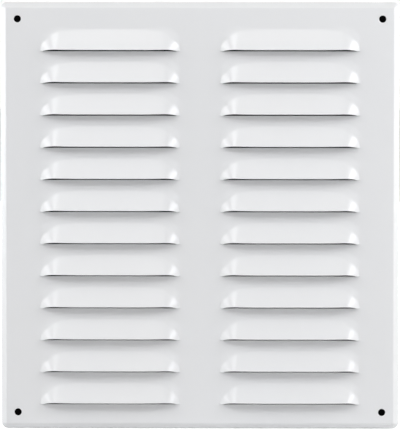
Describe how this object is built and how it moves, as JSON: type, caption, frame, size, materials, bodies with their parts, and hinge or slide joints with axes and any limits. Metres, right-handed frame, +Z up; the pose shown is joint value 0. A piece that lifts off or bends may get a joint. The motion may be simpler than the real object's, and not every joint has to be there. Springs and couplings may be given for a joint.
{
  "type": "ventilation grille",
  "caption": "Pressed steel wall vent plate with downward-facing louvres, a bevelled rim and corner screw holes.",
  "frame": {"origin": "middle of the plate in the plane of the wall that the rim stands on", "axes": "+X across the plate, +Y from the plate into the wall so that the louvres face -Y, +Z up"},
  "size_m": [0.235, 0.0085, 0.2524],
  "materials": {
    "white_powder_coat": "smooth white powder coat, satin"
  },
  "bodies": {
    "root": {"louvre_plate": "white_powder_coat"}
  },
  "joints": []
}
